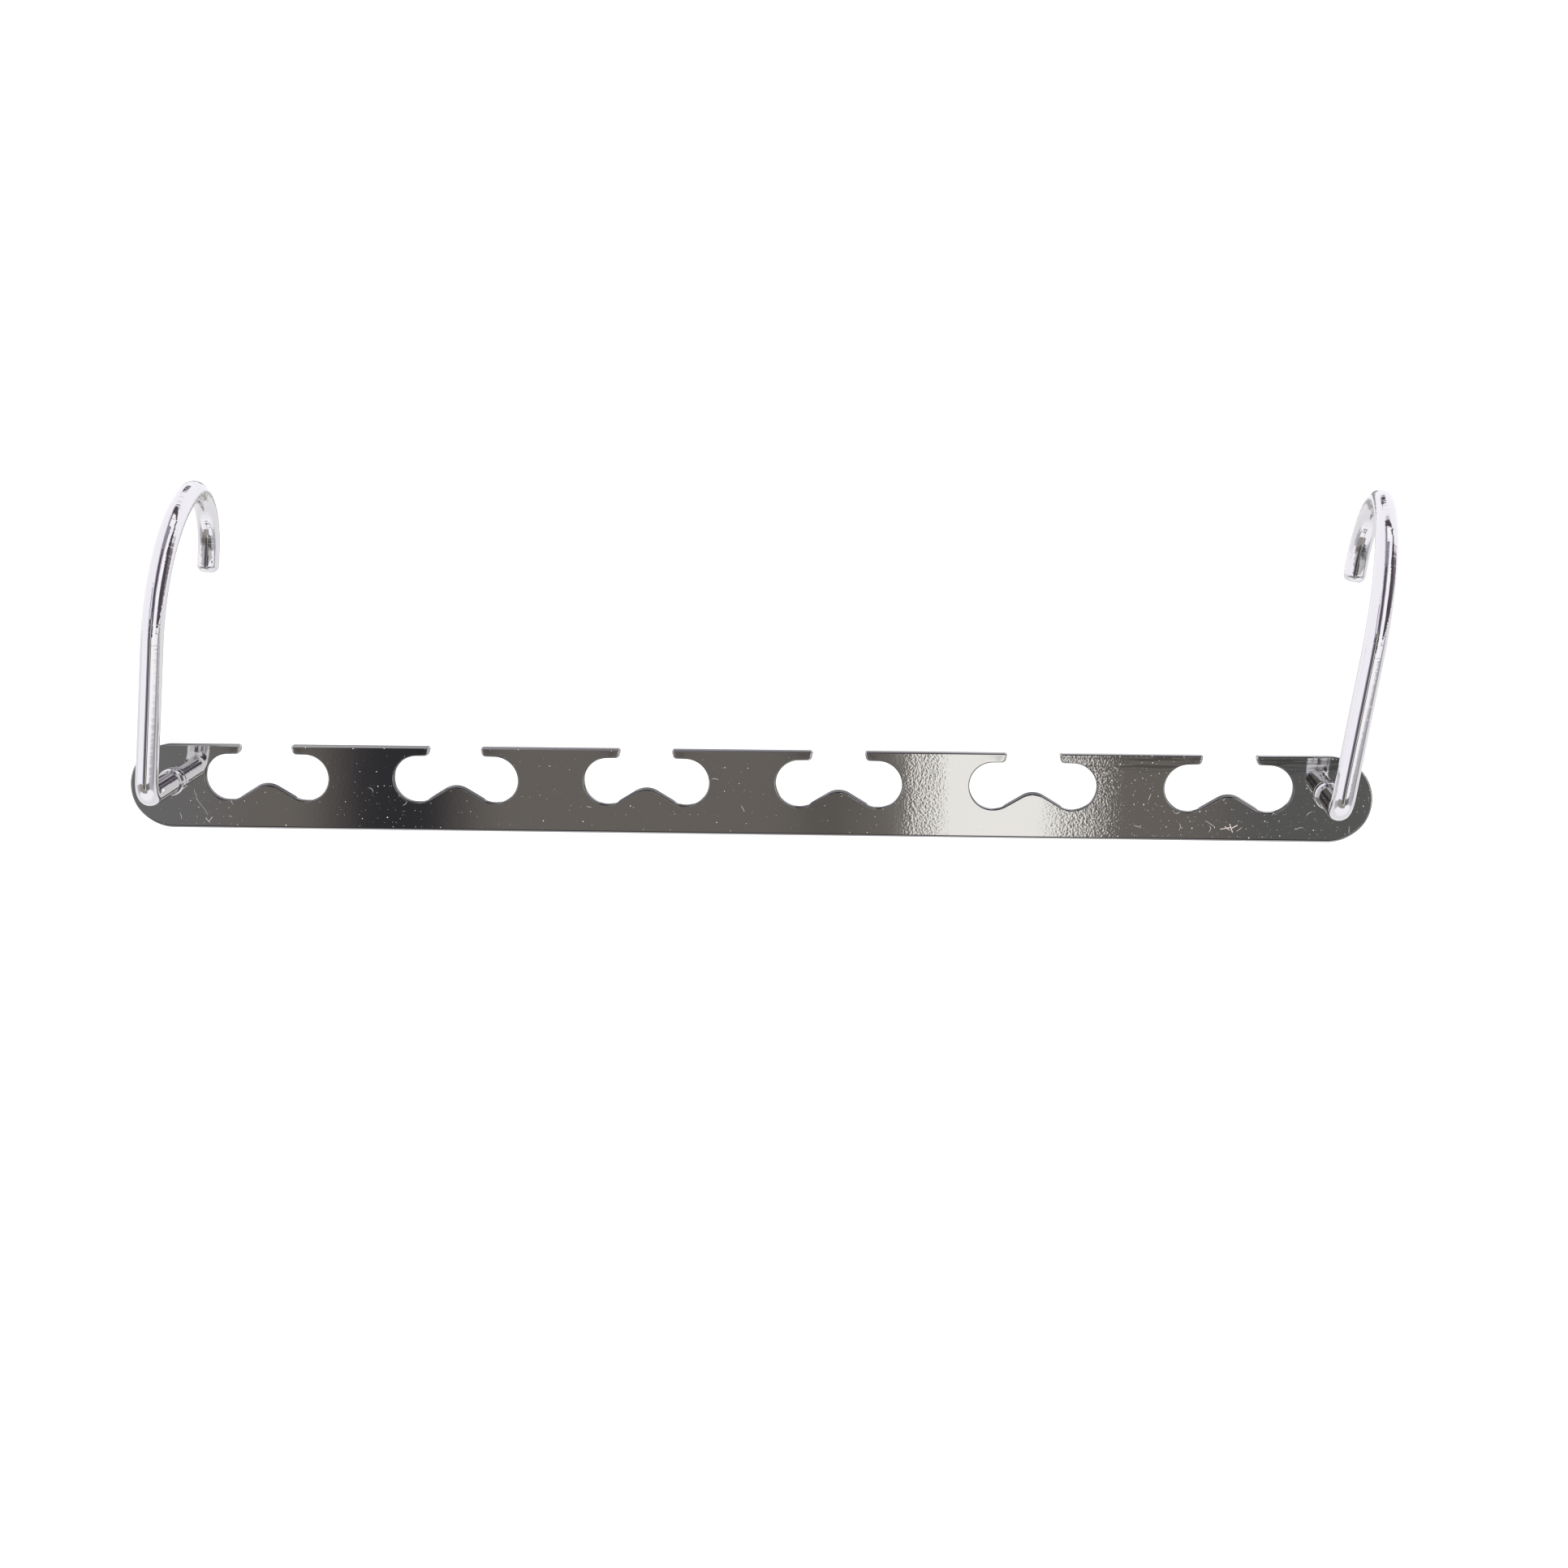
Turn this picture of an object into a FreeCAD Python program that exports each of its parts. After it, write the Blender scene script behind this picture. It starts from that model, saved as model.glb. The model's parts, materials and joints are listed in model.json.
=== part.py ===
"""Cascading garment hanger bar: a stamped steel strip with hanger slots and a wire hook riveted at each end.

Row frame, millimetres: +X along the bar, +Z up, -Y is the side the hooks' stubs stand out on.
The origin is on the axis of the closet rod that both hooks hang on, midway between the pivots.
"""
import FreeCAD, Part
import math
import os

# ---------------------------------------------------------------- driving sizes
# Bar
bar_length = 265.0
bar_height = 18.3
bar_thickness = 1.8
pivot_inset = 9.4            # bar end to rivet axis
pivot_rise = 1.15            # rivet axis above the bar's mid height

# Hanger slots: an open mouth over two round lobes with a crest between them
slot_count = 6
lobe_radius = 5.05
lobe_spacing = 16.7          # between the two lobe centres of one slot
lip_thickness = 2.0          # metal left above the lobes on each side of the mouth
mouth_width = 10.8           # at the bar's top edge
lip_undercut = 0.4           # how much each lip end slants back on its way down
lip_corner_radius = 0.9      # under each lip end
crest_height = 3.5           # crest above the floor of the lobes
crest_radius = 4.3
bend_share = 0.8             # bend line's place on the lobe, from its floor (0) to the flank's foot (1)
tongue_lean = 10.0           # degrees, towards -Y

# Hooks
wire_diameter = 4.75
bend_radius = 3.6            # centreline, stub to front limb
hook_rise = 61.8             # rivet axis to the centreline's highest point
rod_diameter = 32.0          # closet rod that the hooks are made for
rod_clearance = 2.95         # the hook's mouth is this much wider than the rod
front_sweep_radius = 30.5    # centreline
top_radius = 14.1            # centreline
tip_turn = 4.3               # degrees that the tip turns in beyond straight down
tip_length = 3.6             # straight wire after the last bend
tip_chamfer = 1.1
left_lean = 4.7              # degrees from upright at rest, towards +X
right_lean = 9.0

# Riveted pivots
tenon_shoulder = 0.475       # how much the wire's radius is necked down to pass through the bar
tenon_clearance = 0.05       # radial, tenon to hole
side_clearance = 0.05        # collar to bar and head to bar
collar_overhang = 0.55       # collar radius beyond the wire's
collar_length = 1.8
collar_taper = 0.5           # collar's shoulder runs out to the wire over this length
head_overhang = 1.3          # head radius beyond the tenon's
head_rim = 0.5
head_height = 1.3

# Punches and drills run this far past the strip's faces and edge.
tool_overrun = 1.0

# ---------------------------------------------------------------- worked-out sizes
wire_radius = wire_diameter / 2
rod_radius = rod_diameter / 2
rod_gap = rod_diameter + rod_clearance
hook_depth = rod_gap + wire_diameter
sweep_cos = (front_sweep_radius + top_radius - hook_depth) / (front_sweep_radius - top_radius)
sweep_angle = math.acos(sweep_cos)
sweep_lift = front_sweep_radius * math.sin(sweep_angle)
top_lift = top_radius * (1 - math.sin(sweep_angle))
front_limb_length = hook_rise - bend_radius - sweep_lift - top_lift

# The rod seats where it touches the front sweep and lines up with the tip's inner side.
rod_offset = rod_gap / 2 - rod_radius
sweep_centre_y = front_sweep_radius - hook_depth / 2
sweep_centre_z = bend_radius + front_limb_length
seat_reach = front_sweep_radius - wire_radius - rod_radius
seat_height = sweep_centre_z + math.sqrt(seat_reach ** 2 - (sweep_centre_y - rod_offset) ** 2)

pivot_z = -seat_height * math.cos(math.radians(max(left_lean, right_lean)))
limb_y = -hook_depth / 2 - rod_offset

# The bar hangs under the middle of the hooks' mouths.
stub_length = hook_depth / 2 - bar_thickness / 2
bar_front_y = limb_y + stub_length
bar_bottom_z = pivot_z - pivot_rise - bar_height / 2
bar_top_z = bar_bottom_z + bar_height
pivot_x = bar_length / 2 - pivot_inset
slot_pitch = 2 * pivot_x / slot_count
lobe_centre_z = bar_top_z - lip_thickness - lobe_radius
lobe_floor_z = lobe_centre_z - lobe_radius
crest_z = lobe_floor_z + crest_height
tenon_radius = wire_radius - tenon_shoulder
hole_radius = tenon_radius + tenon_clearance
collar_radius = wire_radius + collar_overhang
head_radius = tenon_radius + head_overhang

Vector = FreeCAD.Vector
ALONG_Y = Vector(0, 1, 0)


def line(start, end):
    """Straight edge between two points."""
    return Part.LineSegment(start, end).toShape()


def arc(centre, radius, from_angle, to_angle, side=1):
    """Circular edge in an XZ plane; angles in radians from side times +X, towards +Z."""
    mid_angle = (from_angle + to_angle) / 2
    points = []
    for angle in (from_angle, mid_angle, to_angle):
        points.append(centre + Vector(side * radius * math.cos(angle), 0, radius * math.sin(angle)))
    return Part.Arc(*points).toShape()


def both_sides(half_outline, slot_x, y):
    """Closed face from a function that gives the edges of a slot shape's right or left half."""
    edges = half_outline(slot_x, y, 1) + half_outline(slot_x, y, -1)
    return Part.Face(Part.Wire(Part.sortEdges(edges)[0]))


def flank_slope():
    """Slope of the line that touches the crest's arc above and the lobe's circle below."""
    half_spacing = lobe_spacing / 2
    centre_drop = lobe_centre_z - (crest_z - crest_radius)
    reach = math.hypot(half_spacing, centre_drop)
    return math.atan2(half_spacing, centre_drop) - math.acos((lobe_radius + crest_radius) / reach)


slope = flank_slope()
bend_angle = bend_share * slope
bend_half_width = lobe_spacing / 2 - lobe_radius * math.sin(bend_angle)
bend_z = lobe_centre_z - lobe_radius * math.cos(bend_angle)


def punched_half(slot_x, y, side):
    """Edges of half a slot, from the tongue's bend line round the lobe and up through the mouth."""
    def at(across, height):
        return Vector(slot_x + side * across, y, height)

    lip_under_z = lobe_centre_z + lobe_radius
    slant = math.atan2(lip_undercut, lip_thickness)
    corner_setback = lip_corner_radius * math.tan((math.pi / 2 - slant) / 2)
    corner_across = mouth_width / 2 + lip_undercut + corner_setback
    corner_centre = at(corner_across, lip_under_z + lip_corner_radius)
    corner_top = at(corner_across - lip_corner_radius * math.cos(slant),
                    lip_under_z + lip_corner_radius * (1 - math.sin(slant)))
    lobe_centre = at(lobe_spacing / 2, lobe_centre_z)
    return [line(at(0, bend_z), at(bend_half_width, bend_z)),
            arc(lobe_centre, lobe_radius, -math.pi / 2 - bend_angle, math.pi / 2, side),
            line(at(lobe_spacing / 2, lip_under_z), at(corner_across, lip_under_z)),
            arc(corner_centre, lip_corner_radius, -math.pi / 2, -math.pi + slant, side),
            line(corner_top, at(mouth_width / 2, bar_top_z)),
            line(at(mouth_width / 2, bar_top_z), at(mouth_width / 2, bar_top_z + tool_overrun)),
            line(at(mouth_width / 2, bar_top_z + tool_overrun), at(0, bar_top_z + tool_overrun))]


def tongue_half(slot_x, y, side):
    """Edges of half a tongue: crest arc, flank, the lobe's start, and the bend line."""
    def at(across, height):
        return Vector(slot_x + side * across, y, height)

    lobe_centre = at(lobe_spacing / 2, lobe_centre_z)
    flank_top = at(crest_radius * math.sin(slope), crest_z - crest_radius * (1 - math.cos(slope)))
    flank_foot = at(lobe_spacing / 2 - lobe_radius * math.sin(slope),
                    lobe_centre_z - lobe_radius * math.cos(slope))
    return [arc(at(0, crest_z - crest_radius), crest_radius, math.pi / 2, math.pi / 2 - slope, side),
            line(flank_top, flank_foot),
            arc(lobe_centre, lobe_radius, -math.pi / 2 - slope, -math.pi / 2 - bend_angle, side),
            line(at(bend_half_width, bend_z), at(0, bend_z))]


def slot_cutter(slot_x):
    """Everything punched out of the strip for one hanger slot, down to the tongue's bend line."""
    outline = both_sides(punched_half, slot_x, bar_front_y - tool_overrun)
    return outline.extrude(ALONG_Y * (bar_thickness + 2 * tool_overrun))


def slot_tongue(slot_x):
    """The crest above its bend line, leaning towards -Y."""
    face = both_sides(tongue_half, slot_x, bar_front_y)
    face.rotate(Vector(0, bar_front_y, bend_z), Vector(1, 0, 0), tongue_lean)
    return face.extrude(ALONG_Y * bar_thickness)


def slotted_bar():
    """Round-ended strip, punched for the slots and the two rivets."""
    end_radius = bar_height / 2
    end_x = bar_length / 2 - end_radius
    mid_z = bar_bottom_z + end_radius
    right_end = arc(Vector(end_x, bar_front_y, mid_z), end_radius, -math.pi / 2, math.pi / 2)
    left_end = arc(Vector(-end_x, bar_front_y, mid_z), end_radius, math.pi / 2, 3 * math.pi / 2)
    top = line(Vector(end_x, bar_front_y, bar_top_z), Vector(-end_x, bar_front_y, bar_top_z))
    bottom = line(Vector(-end_x, bar_front_y, bar_bottom_z), Vector(end_x, bar_front_y, bar_bottom_z))
    bar = Part.Face(Part.Wire([right_end, top, left_end, bottom])).extrude(ALONG_Y * bar_thickness)
    for side in (-1, 1):
        start = Vector(side * pivot_x, bar_front_y - tool_overrun, pivot_z)
        bar = bar.cut(Part.makeCylinder(hole_radius, bar_thickness + 2 * tool_overrun, start, ALONG_Y))
    for index in range(slot_count):
        slot_x = (index - (slot_count - 1) / 2) * slot_pitch
        bar = bar.cut(slot_cutter(slot_x)).fuse(slot_tongue(slot_x))
    return bar.removeSplitter()


def pivot_end():
    """Collar, tenon and peened head, turned about the rivet axis; y = 0 at the bar's front face."""
    front = -side_clearance
    back = bar_thickness + side_clearance
    shoulder = front - collar_length
    nose = shoulder - collar_taper
    rim = back + head_rim
    crown = back + head_height
    dome_height = head_height - head_rim
    dome_radius = (head_radius ** 2 + dome_height ** 2) / (2 * dome_height)
    half_way = math.asin(head_radius / dome_radius) / 2
    dome_middle = Vector(dome_radius * math.sin(half_way),
                         crown - dome_radius * (1 - math.cos(half_way)), 0)
    outline = [(0, nose), (wire_radius, nose), (collar_radius, shoulder), (collar_radius, front),
               (tenon_radius, front), (tenon_radius, back), (head_radius, back), (head_radius, rim)]
    points = [Vector(radius, y, 0) for radius, y in outline]
    edges = [line(start, end) for start, end in zip(points, points[1:])]
    apex = Vector(0, crown, 0)
    edges.append(Part.Arc(points[-1], dome_middle, apex).toShape())
    edges.append(line(apex, points[0]))
    return Part.Face(Part.Wire(edges)).revolve(Vector(0, 0, 0), ALONG_Y, 360)


def wire_path():
    """Wire centreline in the YZ plane, y = 0 at the bar's front face and z = 0 at the rivet axis."""
    start = Vector(0, -side_clearance - collar_length, 0)
    stub_end = Vector(0, -stub_length + bend_radius, 0)
    bend_centre = stub_end + Vector(0, 0, bend_radius)
    limb_foot = Vector(0, -stub_length, bend_radius)
    limb_head = Vector(0, -stub_length, bend_radius + front_limb_length)
    sweep_centre = limb_head + Vector(0, front_sweep_radius, 0)
    top_centre_y = sweep_centre.y - (front_sweep_radius - top_radius) * math.cos(sweep_angle)
    top_centre_z = sweep_centre.z + (front_sweep_radius - top_radius) * math.sin(sweep_angle)
    top_centre = Vector(0, top_centre_y, top_centre_z)

    def on_circle(centre, radius, turn):
        """Point reached after turning that far from straight up, bending towards +Y."""
        return centre + Vector(0, -radius * math.cos(turn), radius * math.sin(turn))

    bend_mid = bend_centre + Vector(0, -math.sin(math.pi / 4), -math.cos(math.pi / 4)) * bend_radius
    last_turn = math.pi + math.radians(tip_turn)
    sweep_end = on_circle(sweep_centre, front_sweep_radius, sweep_angle)
    sweep_mid = on_circle(sweep_centre, front_sweep_radius, sweep_angle / 2)
    top_mid = on_circle(top_centre, top_radius, (sweep_angle + last_turn) / 2)
    top_end = on_circle(top_centre, top_radius, last_turn)
    tip_heading = Vector(0, math.sin(last_turn), math.cos(last_turn))
    chamfer_start = top_end + tip_heading * (tip_length - tip_chamfer)
    edges = [line(start, stub_end), Part.Arc(stub_end, bend_mid, limb_foot).toShape(),
             line(limb_foot, limb_head), Part.Arc(limb_head, sweep_mid, sweep_end).toShape(),
             Part.Arc(sweep_end, top_mid, top_end).toShape(), line(top_end, chamfer_start)]
    return Part.Wire(edges), chamfer_start, tip_heading


def hook(side, lean):
    """One hook: bent wire with its turned pivot end, leaning about its rivet."""
    path, chamfer_start, tip_heading = wire_path()
    section = Part.Wire(Part.makeCircle(wire_radius, path.Vertexes[0].Point, ALONG_Y))
    wire = path.makePipeShell([section], True, False)
    tip = Part.makeCone(wire_radius, wire_radius - tip_chamfer, tip_chamfer, chamfer_start, tip_heading)
    body = pivot_end().fuse([wire, tip]).removeSplitter()
    body.rotate(Vector(0, 0, 0), ALONG_Y, lean)
    body.translate(Vector(side * pivot_x, bar_front_y, pivot_z))
    return body


pieces = {
    "slotted_bar": slotted_bar(),
    "left_hook": hook(-1, left_lean),
    "right_hook": hook(1, right_lean),
}

os.makedirs("parts", exist_ok=True)
for name, shape in pieces.items():
    box = shape.BoundBox
    print(name, "valid", shape.isValid(), "solids", len(shape.Solids), "volume", round(shape.Volume, 1),
          "x", round(box.XMin, 2), round(box.XMax, 2), "y", round(box.YMin, 2), round(box.YMax, 2),
          "z", round(box.ZMin, 2), round(box.ZMax, 2))
    shape.exportStep(f"parts/{name}.step")
print("slot pitch", round(slot_pitch, 3), "front limb", round(front_limb_length, 2),
      "pivot", round(pivot_x, 3), round(pivot_z, 3), "bar front", round(bar_front_y, 3))
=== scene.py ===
"""Cascading garment hanger bar: a chromed, slotted steel strip with a riveted wire hook at each end."""
import json
import math

import bpy
import numpy as np
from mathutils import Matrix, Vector
from mathutils.geometry import delaunay_2d_cdt


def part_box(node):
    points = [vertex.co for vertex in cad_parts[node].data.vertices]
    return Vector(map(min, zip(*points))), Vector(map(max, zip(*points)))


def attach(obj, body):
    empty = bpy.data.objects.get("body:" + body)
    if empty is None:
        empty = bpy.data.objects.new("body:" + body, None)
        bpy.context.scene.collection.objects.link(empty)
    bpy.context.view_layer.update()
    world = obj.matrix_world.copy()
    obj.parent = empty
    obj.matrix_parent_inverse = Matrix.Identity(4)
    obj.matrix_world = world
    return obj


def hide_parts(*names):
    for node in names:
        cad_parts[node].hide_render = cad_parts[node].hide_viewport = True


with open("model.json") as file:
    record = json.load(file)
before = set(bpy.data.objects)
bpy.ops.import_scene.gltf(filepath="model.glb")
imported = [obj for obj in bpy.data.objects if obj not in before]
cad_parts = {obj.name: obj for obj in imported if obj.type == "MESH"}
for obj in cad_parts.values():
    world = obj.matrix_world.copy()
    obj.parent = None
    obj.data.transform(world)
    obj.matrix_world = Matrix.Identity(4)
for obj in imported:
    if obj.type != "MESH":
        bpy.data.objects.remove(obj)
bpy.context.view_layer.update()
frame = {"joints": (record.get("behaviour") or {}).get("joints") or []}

mm = 0.001

# ------------------------------------------------------------------------------------ camera
# A short telephoto view of the front, from a little right of the middle and a hand's width above
# the bar, so that both hooks show the way they curl back over the rod.
bar_low, bar_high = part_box("slotted_bar")
sheet_thickness = 1.8 * mm
bar_front = bar_high.y - sheet_thickness
view_target = Vector((8.9 * mm, bar_front, bar_high.z - 7.1 * mm))
view_distance = 551.6 * mm
view_down = math.radians(10.79)
view_left = math.radians(3.62)

view_direction = Vector((-math.cos(view_down) * math.sin(view_left),
                         math.cos(view_down) * math.cos(view_left),
                         -math.sin(view_down)))
camera = bpy.data.objects.new("camera", bpy.data.cameras.new("camera"))
camera.data.sensor_width = 36
camera.data.lens = 59.63
camera.location = view_target - view_direction * view_distance
camera.rotation_euler = view_direction.to_track_quat("-Z", "Y").to_euler()
bpy.context.scene.collection.objects.link(camera)
bpy.context.scene.camera = camera

# ------------------------------------------------------------------------------- slotted bar
# One strip of 1.8 mm cold-rolled steel, blanked with round ends and six open-topped slots in a
# progressive die. The crest in each slot is pressed forward a little, the burrs are tumbled off,
# and the strip is plated with bright nickel and chrome.
lobe_radius = 5.05 * mm
lobe_spacing = 16.7 * mm
lip_thickness = 2.0 * mm
mouth_width = 10.8 * mm
lip_undercut = 0.4 * mm
lip_corner_radius = 0.9 * mm
lip_tip_radius = 0.45 * mm
crest_height = 3.5 * mm
crest_radius = 4.3 * mm
bend_share = 0.8
tongue_lean = math.radians(10)
bend_length = 1.2 * mm
slot_count = 6
hole_radius = 1.95 * mm
punched_edge_radius = 0.25 * mm
lip_edge_radius = 0.5 * mm
back_edge_radius = 0.22 * mm
roll_over_radius = 0.62 * mm

pivots = {joint["child"]: Vector(joint["pos_m"]) for joint in frame["joints"]}
left_pivot = pivots["left_hook_body"]
right_pivot = pivots["right_hook_body"]
slot_pitch = (right_pivot.x - left_pivot.x) / slot_count
slot_places = (np.arange(slot_count) - (slot_count - 1) / 2) * slot_pitch
bar_back = bar_high.y
bar_top = bar_high.z
lobe_height = bar_top - lip_thickness - lobe_radius
crest_top = lobe_height - lobe_radius + crest_height
lip_ends = np.concatenate([slot_places - mouth_width / 2, slot_places + mouth_width / 2])
lip_middle = bar_top - lip_thickness / 2


def arc(centre, radius, start, end, outward=1, spacing=0.3 * mm):
    """Rows of (x, z, normal x, normal z) along a circular arc, in degrees from +X towards +Z.

    A point is the centre plus the radius times (cos, sin). Its normal is (cos, sin), or the
    opposite where the metal lies outside the circle.
    """
    steps = max(6, int(abs(math.radians(end - start)) * radius / spacing))
    angle = np.radians(np.linspace(start, end, steps + 1))
    radial = np.stack([np.cos(angle), np.sin(angle)], axis=1)
    return np.hstack([np.array(centre) + radius * radial, outward * radial])


def flank_slope():
    """Slope of the line that touches the crest's arc from above and the lobe's circle from below."""
    drop = lobe_height - (crest_top - crest_radius)
    reach = math.hypot(lobe_spacing / 2, drop)
    return math.atan2(lobe_spacing / 2, drop) - math.acos((lobe_radius + crest_radius) / reach)


slope = flank_slope()
bend_half_width = lobe_spacing / 2 - lobe_radius * math.sin(bend_share * slope)
bend_height = lobe_height - lobe_radius * math.cos(bend_share * slope)


def half_slot():
    """Half a slot's outline: crest, flank, lobe, lip underside, lip end. Straight parts join the arcs."""
    slope_degrees = math.degrees(slope)
    slant = math.atan2(lip_undercut, lip_thickness)
    slant_degrees = math.degrees(slant)
    setback = lip_corner_radius * math.tan((math.pi / 2 - slant) / 2)
    corner_across = mouth_width / 2 + lip_undercut + setback
    tip_across = mouth_width / 2 + lip_tip_radius * (math.tan(slant) + 1 / math.cos(slant))
    crest = arc((0, crest_top - crest_radius), crest_radius, 90, 90 - slope_degrees)
    lobe = arc((lobe_spacing / 2, lobe_height), lobe_radius, -90 - slope_degrees, 90, outward=-1)
    corner = arc((corner_across, lobe_height + lobe_radius + lip_corner_radius), lip_corner_radius,
                 -90, -180 + slant_degrees, spacing=0.1 * mm)
    tip = arc((tip_across, bar_top - lip_tip_radius), lip_tip_radius,
              180 + slant_degrees, 90, spacing=0.1 * mm)
    return np.vstack([crest, lobe, corner, tip])


def bar_outline():
    """The bar's closed outline, anticlockwise from the front: bottom, right end, top with slots, left end."""
    end_radius = (bar_high.z - bar_low.z) / 2
    end_x = bar_high.x - end_radius
    end_z = bar_low.z + end_radius
    half = half_slot()
    mirrored = half * np.array([-1, 1, -1, 1])
    slot = np.vstack([half[::-1], mirrored[1:]])
    parts = [arc((end_x, end_z), end_radius, -90, 90)]
    for slot_x in slot_places[::-1]:
        parts.append(slot + np.array([slot_x, 0, 0, 0]))
    parts.append(arc((-end_x, end_z), end_radius, 90, 270))
    return np.vstack(parts)


def lower_edge(points):
    """1 on the bar's lower edge, falling to 0 over 3 mm up the round ends."""
    rise = (points[:, 1] - bar_low.z) / (3 * mm)
    return np.clip(1.5 - rise, 0, 1)


def lip_nearness(points):
    """1 at the nearest lip end, falling off with the square of the distance over about 1.5 mm."""
    distance = np.hypot(points[:, None, 0] - lip_ends, points[:, None, 1] - lip_middle).min(axis=1)
    return np.exp(-(distance / (1.5 * mm)) ** 2)


def painted_lip_shade(points):
    """Painted shade near the lips: 1 at the nearest lip end, falling off over about 3 mm along the bar and 1
    mm up and down.
    """
    along = (points[:, None, 0] - lip_ends) / (3.2 * mm)
    aside = (points[:, None, 1] - lip_middle) / (1.1 * mm)
    return np.exp(-(along ** 2 + aside ** 2)).max(axis=1)


def rounded_rim(outline, front_radius, back_radius, steps=8):
    """The edge of the sheet: a quarter circle at the front, a straight wall, a quarter circle behind.

    The third result is how dark the edge is painted: partly the fracture's own grey on the wall,
    partly painted shade standing in for the dark reflections along the rounded edge. It is none on
    the faces, full on the wall, and little at the lips, which are left light as a painted light rim.
    Along the lower edge the wide roll-over is painted dark where it starts, lighter after that, and
    dark again towards the wall, as painted reflections.

    Each row of the grid is the outline moved inwards by radius times (1 - sin a), at a depth of
    radius times (1 - cos a) from its face, with a from 0 on the face to 90 degrees on the wall.
    """
    turn = np.linspace(0, math.pi / 2, steps + 1)[:, None]
    front_inset = front_radius * (1 - np.sin(turn))
    back_inset = back_radius * (1 - np.sin(turn[::-1]))
    inset = np.vstack([front_inset, np.broadcast_to(back_inset, (steps + 1, len(outline)))])
    depth = np.vstack([bar_front + front_radius * (1 - np.cos(turn)),
                       np.broadcast_to(bar_back - back_radius * (1 - np.cos(turn[::-1])),
                                       (steps + 1, len(outline)))])
    out = np.vstack([np.sin(turn), np.sin(turn[::-1])])
    facing = np.vstack([-np.cos(turn), np.cos(turn[::-1])])
    points = np.stack([outline[:, 0] - inset * outline[:, 2], depth,
                       outline[:, 1] - inset * outline[:, 3]], axis=2)
    normals = np.stack([out * outline[:, 2], facing * np.ones(len(outline)),
                        out * outline[:, 3]], axis=2)
    degrees = np.degrees(turn)
    # Painted shade on the rounding and the wall, for the dark reflection along the edge; on the wall it is
    # partly the fracture's own grey.
    fracture_and_painted_edge = np.clip((degrees - 8) / 22, 0, 1)
    # Painted reflections on the lower edge's roll-over: dark, then lighter, then dark again.
    painted_dark_bands = (np.clip((degrees - 2) / 8, 0, 1) - 0.45 * np.clip((degrees - 20) / 8, 0, 1)
              + 0.3 * np.clip((degrees - 45) / 12, 0, 1))
    fracture_and_painted_edge = fracture_and_painted_edge + (painted_dark_bands - fracture_and_painted_edge) * lower_edge(outline)
    # The painted dark is held back near the lip ends, which leaves a painted light rim there.
    fracture_and_painted_shade = np.vstack([fracture_and_painted_edge, fracture_and_painted_edge[::-1]]) * (1 - 0.9 * lip_nearness(outline))
    return points, normals, fracture_and_painted_shade


def ring_faces(rows, columns, first):
    """Quads of a grid whose columns close on themselves, wound so that they face out of the metal."""
    row, column = np.meshgrid(np.arange(rows - 1), np.arange(columns), indexing="ij")
    following = (column + 1) % columns
    corners = [row * columns + column, (row + 1) * columns + column,
               (row + 1) * columns + following, row * columns + following]
    return first + np.stack(corners, axis=2).reshape(-1, 4)


def inside(points, ring):
    """True where a point lies inside a closed ring: it crosses the ring an odd number of times."""
    following = np.roll(ring, -1, axis=0)
    rises = (ring[:, 1] > points[:, None, 1]) != (following[:, 1] > points[:, None, 1])
    run = np.where(following[:, 1] == ring[:, 1], 1, following[:, 1] - ring[:, 1])
    share = (points[:, None, 1] - ring[:, 1]) / run
    crossing = ring[:, 0] + share * (following[:, 0] - ring[:, 0])
    return (rises & (points[:, None, 0] < crossing)).sum(axis=1) % 2 == 1


def sheet_face(rings, spacing=1.1 * mm, clear=0.5 * mm):
    """Triangles that fill the first ring around the other rings, with a staggered grid of points inside.

    The points are taken from a triangular lattice, kept where they lie in the metal and clear of
    every ring. Returns the inner points and triangles that count the rings' points first.
    """
    edge = np.vstack(rings)
    across = np.arange(edge[:, 0].min(), edge[:, 0].max(), spacing)
    up = np.arange(edge[:, 1].min(), edge[:, 1].max(), spacing * math.sqrt(3) / 2)
    grid_x, grid_z = np.meshgrid(across, up)
    grid_x = grid_x + spacing / 2 * (np.arange(len(up)) % 2)[:, None]
    lattice = np.stack([grid_x.ravel(), grid_z.ravel()], axis=1)
    lattice = lattice[inside(lattice, rings[0])]
    nearest = np.hypot(lattice[:, None, 0] - edge[:, 0], lattice[:, None, 1] - edge[:, 1]).min(axis=1)
    lattice = lattice[nearest > clear]
    starts = np.cumsum([0] + [len(ring) for ring in rings])
    edges = []
    for start, end in zip(starts, starts[1:]):
        count = np.arange(end - start)
        edges.append(np.stack([start + count, start + (count + 1) % (end - start)], axis=1))
    points = np.vstack([edge, lattice])
    scale = 1 / mm
    cut = delaunay_2d_cdt([Vector(p) for p in (points * scale).tolist()],
                          np.vstack(edges).tolist(), [], 0, 1e-7, True)
    source = np.array([origins[0] for origins in cut[3]])
    triangles = source[np.array(cut[2])]
    middle = points[triangles].mean(axis=1)
    kept = inside(middle, rings[0])
    for hole in rings[1:]:
        kept &= ~inside(middle, hole)
    return lattice, triangles[kept]


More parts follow.
